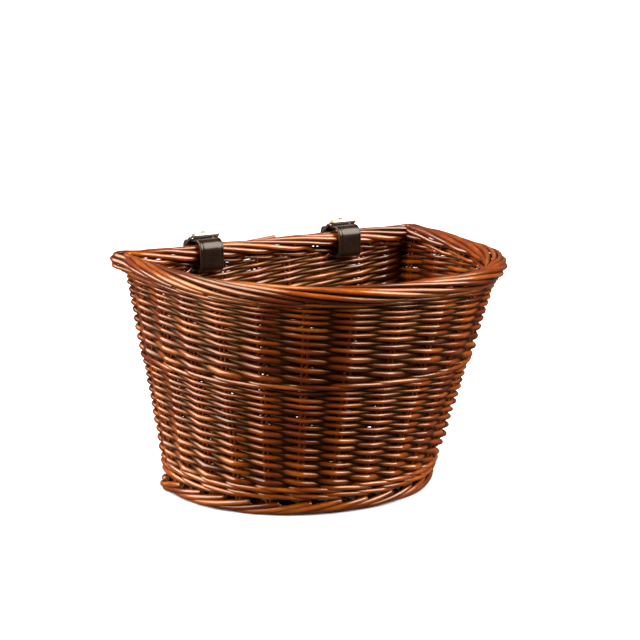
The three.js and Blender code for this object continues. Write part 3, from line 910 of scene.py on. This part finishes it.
def strap_section():
    """One closed section across the strap, grain side first: x and height, and the skin from each point."""
    half = STRAP_HALF
    h = STRAP_THICKNESS / 2
    crease = half - CREASE_IN
    grain = [(-half + EDGE_ROUND, h - 0.05), (-crease - 0.6, h)]
    grain += [(-crease, h - CREASE_DEPTH), (-crease + 0.6, h)]
    grain += [(x, h) for x in np.linspace(-crease + 2.5, crease - 2.5, FACE_POINTS)]
    grain += [(-x, y) for x, y in reversed(grain[:4])]
    edge = [(half - 0.1, h - EDGE_ROUND), (half, 0), (half - 0.1, EDGE_ROUND - h)]
    flesh = [(x, -h) for x in np.linspace(half - EDGE_ROUND, -half + EDGE_ROUND, FACE_POINTS)]
    section = grain + edge + flesh + [(-x, y) for x, y in reversed(edge)]
    edge_skins = [CUT_EDGE] * (len(edge) + 1)
    skins = [GRAIN] * (len(grain) - 1) + edge_skins + [FLESH] * (len(flesh) - 1) + edge_skins
    return section, skins


def skin_of(polygon, skins):
    """The skin of one face of a swept strap: quads run along it, and both ends are cut edges."""
    if len(polygon.vertices) != 4:
        return CUT_EDGE
    around = len(skins)
    first = min(polygon.vertices) % around
    last = max(polygon.vertices) % around
    joins_up = first == 0 and last == around - 1
    return skins[-1] if joins_up else skins[first]


def round_bar(start, end, radius, sides=28):
    """A closed cylinder between two points."""
    start, end = Vector(start), Vector(end)
    across = (end - start).orthogonal().normalized()
    other = (end - start).normalized().cross(across)
    loops = []
    for middle in (start, end):
        loops.append([middle + radius * (math.cos(a) * across + math.sin(a) * other)
                      for a in np.arange(sides) * 2 * math.pi / sides])
    return swept(loops, closed=False)


def cut_holes(piece, bars):
    """Cuts closed bars out of a piece for good."""
    for points, faces in bars:
        tool = mesh_piece("cutter", [np.asarray(point) * MM for point in points], faces, [])
        modifier = piece.modifiers.new("cut", "BOOLEAN")
        modifier.operation = "DIFFERENCE"
        modifier.solver = "EXACT"
        modifier.object = tool
        done = bpy.data.meshes.new_from_object(piece.evaluated_get(bpy.context.evaluated_depsgraph_get()))
        piece.modifiers.clear()
        piece.data = done
        bpy.data.objects.remove(tool)


TAIL_HOLES_Z = [204, 184, 164, 144]
HOLE_RADIUS = 2.3
HOLE_SIDES = 24
HOLE_TO_BAR = 7.1  # the prong's hole is oblong and reaches this far from the prong's line
HOLE_TO_ROLLER = 3.9
FOLD_SLOT_EXTRA = 0.15  # the slot in the fold reaches this far past the leather
FOLD_SLOT_SIDE = 0.8  # and this far beside the prong
TIP_STEPS = 9
NARROWEST_TIP = 0.02  # square of the strap's last width, as a share of its whole width
PRONG_WIDTH = 3.2
PRONG_HALF = 1.0
PRONG_LIFT = 0.35  # between the roller and the prong that rests on it
prong_angle = frame_angle - math.asin((ROLLER_RADIUS + PRONG_HALF + PRONG_LIFT) / frame_length)


def round_tip(line):
    """The strap's line with its last stretch in uneven steps, so that the tip is an even half circle."""
    left = cumulative(line)[-1] - cumulative(line)
    keep = left >= STRAP_HALF
    keep[-1] = True
    start = line[keep][-2]
    steps = np.linspace(0.2, math.pi / 2 - 0.12, TIP_STEPS)
    ends = [start + (line[-1] - start) * (1 - math.cos(a)) for a in steps]
    return np.array([*line[keep][:-1], *ends, line[-1]])


def prong_hole(x0):
    """The oblong hole that the prong comes up through, cut square to the strap."""
    rise = math.tan(prong_angle)
    slope = math.tan(crossing_angle)
    y = (crossing_z(0) - bar[1] + rise * bar[0]) / (rise - slope)
    middle = Vector((x0, y, crossing_z(y)))
    way = Vector((0, math.cos(crossing_angle), math.sin(crossing_angle)))
    square = way.cross(SIDEWAYS)
    loops = []
    for height in (-STRAP_THICKNESS, STRAP_THICKNESS):
        loop = []
        for a in np.arange(HOLE_SIDES) * 2 * math.pi / HOLE_SIDES:
            reach = HOLE_TO_BAR - HOLE_RADIUS if math.sin(a) > 0 else -HOLE_TO_ROLLER + HOLE_RADIUS
            loop.append(middle + square * height + SIDEWAYS * HOLE_RADIUS * math.cos(a)
                        + way * (reach + HOLE_RADIUS * math.sin(a)))
        loops.append(loop)
    return swept(loops, closed=False, faces_out=False)


def make_strap(side):
    x0 = strap_x[side]
    line = round_tip(rounded_line(strap_corners(), 2.0))
    to_tip = cumulative(line)[-1] - cumulative(line)
    along = unit(np.gradient(line, axis=0))
    section, skins = strap_section()
    loops = []
    for (y, z), way, left in zip(line, along, to_tip):
        width = math.sqrt(max(1 - max(1 - left / STRAP_HALF, 0) ** 2, NARROWEST_TIP))
        normal = np.array([-way[1], way[0]])
        loops.append([np.array([x0 + sx * width, y + h * normal[0], z + h * normal[1]]) for sx, h in section])
    points, faces = swept(loops, closed=False)
    strap = mesh_piece("leather_strap_" + side, [point * MM for point in points], faces,
                       [leather, leather_edge, leather_back])
    for polygon in strap.data.polygons:
        polygon.material_index = skin_of(polygon, skins)
    bars = [round_bar((x0, bar[0] - 1, z), (x0, bar[0] + 9, z), HOLE_RADIUS) for z in TAIL_HOLES_Z]
    fold = fold_radius + STRAP_THICKNESS / 2 + FOLD_SLOT_EXTRA
    half = PRONG_WIDTH / 2 + FOLD_SLOT_SIDE
    bars.append(round_bar((x0 - half, *bar), (x0 + half, *bar), fold))
    bars.append(prong_hole(x0))
    cut_holes(strap, bars)
    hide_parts("strap_" + side)
    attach(strap, "root")


KEEPER_THICKNESS = 1.6
KEEPER_CORNER = 2.2
KEEPER_CORNER_STEPS = 6
# One half of the keeper's section, out and height, as shares of its thickness and half its width.
KEEPER_SECTION = [(0.5, 0.9), (0.42, 0.97), (0.0, 1.0), (-0.42, 0.97), (-0.5, 0.9)]


def make_keeper(side):
    low, high = box_mm("strap_keeper_" + side)
    middle = (low + high) / 2
    half_x = (high.x - low.x) / 2 - KEEPER_THICKNESS / 2
    half_y = (high.y - low.y) / 2 - KEEPER_THICKNESS / 2
    half_z = (high.z - low.z) / 2
    route = []
    for quarter, (sx, sy) in enumerate(((1, 1), (-1, 1), (-1, -1), (1, -1))):
        for k in range(KEEPER_CORNER_STEPS + 1):
            a = math.pi / 2 * (quarter + k / KEEPER_CORNER_STEPS)
            x = sx * (half_x - KEEPER_CORNER) + KEEPER_CORNER * math.cos(a)
            y = sy * (half_y - KEEPER_CORNER) + KEEPER_CORNER * math.sin(a)
            route.append((x, y, a))
    below = [(-thick, -tall) for thick, tall in KEEPER_SECTION]
    profile = [below[-1], *KEEPER_SECTION, *below[:-1]]
    loops = []
    for x, y, a in route:
        loop = []
        for thick, tall in profile:
            reach = KEEPER_THICKNESS * thick
            across = middle.x + x + reach * math.cos(a)
            deep = middle.y + y + reach * math.sin(a)
            loop.append(Vector((across, deep, middle.z + tall * half_z)) * MM)
        loops.append(loop)
    points, faces = swept(loops, closed=True, faces_out=False)
    keeper = mesh_piece("leather_keeper_" + side, points, faces, [leather])
    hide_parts("strap_keeper_" + side)
    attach(keeper, "root")


# ---- buckles
FRAME_CORNER = 2.0
FRAME_CORNER_STEPS = 8
WIRE_SIDES = 20
frame_low, frame_high = box_mm("buckle_frame_left")
frame_half = (frame_high.x - frame_low.x) / 2 - WIRE_RADIUS


def make_frame(side):
    x0 = strap_x[side]
    towards = Vector((0, math.cos(frame_angle), math.sin(frame_angle)))
    normal = Vector((0, -math.sin(frame_angle), math.cos(frame_angle)))
    start = Vector((x0, *bar))
    loops = []
    for quarter, (sx, far) in enumerate(((1, True), (-1, True), (-1, False), (1, False))):
        centre = Vector((sx * (frame_half - FRAME_CORNER), 0, 0))
        centre += towards * (frame_length - FRAME_CORNER if far else FRAME_CORNER)
        for k in range(FRAME_CORNER_STEPS + 1):
            a = math.pi / 2 * (quarter + k / FRAME_CORNER_STEPS)
            way_out = SIDEWAYS * math.cos(a) + towards * math.sin(a)
            middle = start + centre + way_out * FRAME_CORNER
            loops.append([(middle + WIRE_RADIUS * (math.cos(b) * way_out + math.sin(b) * normal)) * MM
                          for b in np.arange(WIRE_SIDES) * 2 * math.pi / WIRE_SIDES])
    points, faces = swept(loops, closed=True, faces_out=True)
    piece = mesh_piece("wire_frame_" + side, points, faces, [nickel])
    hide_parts("buckle_frame_" + side)
    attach(piece, "buckle_" + side)


ROLLER_END_ROUND = 0.35
ROLLER_SIDES = 64
ROLLER_TURN = math.radians(-60)  # turn of the roller at rest, which places its seam
SEAM_DEPTH = 0.4
SEAM_WIDTH = 0.06  # radians


def make_roller(side):
    """The roller is rolled from sheet: its two edges nearly meet in a seam."""
    x0 = strap_x[side]
    bore = WIRE_RADIUS + BORE_CLEARANCE
    profile = [
        (bore, -ROLLER_HALF),
        (ROLLER_RADIUS - ROLLER_END_ROUND, -ROLLER_HALF),
        (ROLLER_RADIUS - 0.1, -ROLLER_HALF + 0.12),
        (ROLLER_RADIUS, -ROLLER_HALF + ROLLER_END_ROUND),
    ]
    profile += [(ROLLER_RADIUS, x) for x in np.linspace(-ROLLER_HALF + 2, ROLLER_HALF - 2, 6)]
    profile += [(r, -x) for r, x in reversed(profile[1:4])]
    profile += [(bore, ROLLER_HALF), (bore, 0)]
    loops = []
    for k in range(ROLLER_SIDES):
        a = 2 * math.pi * k / ROLLER_SIDES
        dip = SEAM_DEPTH * math.exp(-((a - math.pi) / SEAM_WIDTH) ** 2)
        loop = []
        for r, x in profile:
            out = r if r == bore else r - dip
            y = roller[0] + out * math.cos(a + ROLLER_TURN)
            z = roller[1] + out * math.sin(a + ROLLER_TURN)
            loop.append(Vector((x0 + x, y, z)) * MM)
        loops.append(loop)
    points, faces = swept(loops, closed=True, faces_out=True)
    piece = mesh_piece("roller_tube_" + side, points, faces, [nickel])
    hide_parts("buckle_roller_" + side)
    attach(piece, "roller_" + side)


PRONG_EYE = 3.45
PRONG_LENGTH = 21.0
PRONG_BEVEL = 0.3
EYE_POINTS = 40
BORE_POINTS = 32


def prong_outline():
    """The prong from the side, with the bar at the origin: the eye, and a tongue with a rounded tip."""
    opening = math.asin(PRONG_HALF / PRONG_EYE)
    turns = np.linspace(opening, 2 * math.pi - opening, EYE_POINTS)
    return [(PRONG_EYE * math.cos(a), PRONG_EYE * math.sin(a)) for a in turns] + [
        (PRONG_LENGTH * 0.5, -PRONG_HALF),
        (PRONG_LENGTH - 2.5, -PRONG_HALF),
        (PRONG_LENGTH - 0.8, -PRONG_HALF + 0.35),
        (PRONG_LENGTH, 0.1),
        (PRONG_LENGTH - 0.5, PRONG_HALF - 0.3),
        (PRONG_LENGTH - 1.6, PRONG_HALF),
        (PRONG_LENGTH * 0.5, PRONG_HALF),
    ]


def make_prong(side):
    """A flat prong: an eye round the bar and a tongue that rests on the roller."""
    curve = bpy.data.curves.new("prong", "CURVE")
    curve.dimensions = "2D"
    curve.fill_mode = "BOTH"
    curve.extrude = (PRONG_WIDTH / 2 - PRONG_BEVEL) * MM
    curve.bevel_depth = PRONG_BEVEL * MM
    curve.bevel_resolution = 2
    curve.offset = -PRONG_BEVEL * MM
    bore = WIRE_RADIUS + BORE_CLEARANCE
    turns = np.linspace(2 * math.pi, 0, BORE_POINTS, endpoint=False)
    hole = [(bore * math.cos(a), bore * math.sin(a)) for a in turns]
    for points in (prong_outline(), hole):
        spline = curve.splines.new("POLY")
        spline.points.add(len(points) - 1)
        for place, (x, y) in zip(spline.points, points):
            place.co = (x * MM, y * MM, 0, 1)
        spline.use_cyclic_u = True
    holder = placed("prong_curve", curve)
    bpy.context.view_layer.update()
    mesh = bpy.data.meshes.new_from_object(holder.evaluated_get(bpy.context.evaluated_depsgraph_get()))
    bpy.data.objects.remove(holder)
    along = Vector((0, math.cos(prong_angle), math.sin(prong_angle)))
    up = Vector((0, -math.sin(prong_angle), math.cos(prong_angle)))
    turn = Matrix((along, up, along.cross(up))).transposed().to_4x4()
    mesh.transform(Matrix.Translation(Vector((strap_x[side], *bar)) * MM) @ turn)
    mesh.materials.clear()
    mesh.materials.append(nickel)
    piece = placed("prong_tongue_" + side, mesh)
    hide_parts("buckle_prong_" + side)
    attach(piece, "prong_" + side)


for side in ("left", "right"):
    make_strap(side)
    make_keeper(side)
    make_frame(side)
    make_roller(side)
    make_prong(side)


# ---- stage, lights and camera
FLOOR_COLOUR = (0.6, 0.69, 0.83, 1)
FLOOR_REACH = 15  # metres


def make_floor():
    """A pale floor, hidden from reflections and bounced light so that the willow keeps its deep colour."""
    material, *_, shader = new_material("pale_floor")
    shader.inputs["Base Color"].default_value = FLOOR_COLOUR
    shader.inputs["Roughness"].default_value = 0.9
    corners = [(FLOOR_REACH * x, FLOOR_REACH * y, 0) for x, y in ((-1, -1), (1, -1), (1, 1), (-1, 1))]
    floor = mesh_piece("floor", corners, [[0, 1, 2, 3]], [material])
    floor.visible_glossy = False
    floor.visible_diffuse = False
    floor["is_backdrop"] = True


def direction(azimuth, elevation):
    """The way from the basket to a lamp or camera; azimuth 0 is the front and 90 the right, in degrees."""
    a, e = math.radians(azimuth), math.radians(elevation)
    return Vector((math.sin(a) * math.cos(e), -math.cos(a) * math.cos(e), math.sin(e)))


WARM_LIGHT = (1.0, 0.87, 0.72)


def make_sun(name, azimuth, elevation, strength, softness):
    """Even soft light from one side; softness is the width of the lamp as the basket sees it, in degrees."""
    data = bpy.data.lights.new(name, "SUN")
    data.energy = strength
    data.angle = math.radians(softness)
    data.color = WARM_LIGHT
    light = placed(name, data)
    light.rotation_euler = direction(azimuth, elevation).to_track_quat("Z", "Y").to_euler()


# The photograph's camera, fitted to the basket's outline, rims and stakes.
CAMERA_AIM = Vector((-4.1, 24.9, 164.4)) * MM
CAMERA_DISTANCE = 2.001
CAMERA_AZIMUTH = -30.61
CAMERA_ELEVATION = 12.02
CAMERA_LENS = 120.12


def make_camera():
    back = direction(CAMERA_AZIMUTH, CAMERA_ELEVATION)
    data = bpy.data.cameras.new("camera")
    data.lens = CAMERA_LENS
    data.sensor_width = 36
    data.clip_start = 0.05
    data.clip_end = 60
    camera = placed("camera", data)
    camera.location = CAMERA_AIM + back * CAMERA_DISTANCE
    camera.rotation_euler = back.to_track_quat("Z", "Y").to_euler()
    bpy.context.scene.camera = camera


def make_world():
    world = bpy.data.worlds.new("studio")
    world.use_nodes = True
    background = world.node_tree.nodes["Background"]
    background.inputs["Color"].default_value = (1.0, 0.9, 0.78, 1)
    background.inputs["Strength"].default_value = 0.1
    bpy.context.scene.world = world


make_floor()
make_world()
make_sun("left_light", -112, 36, 9.6, 74)
make_sun("right_light", 46, 38, 8.2, 56)
make_camera()
bpy.context.scene.view_settings.view_transform = "Standard"

low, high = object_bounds()
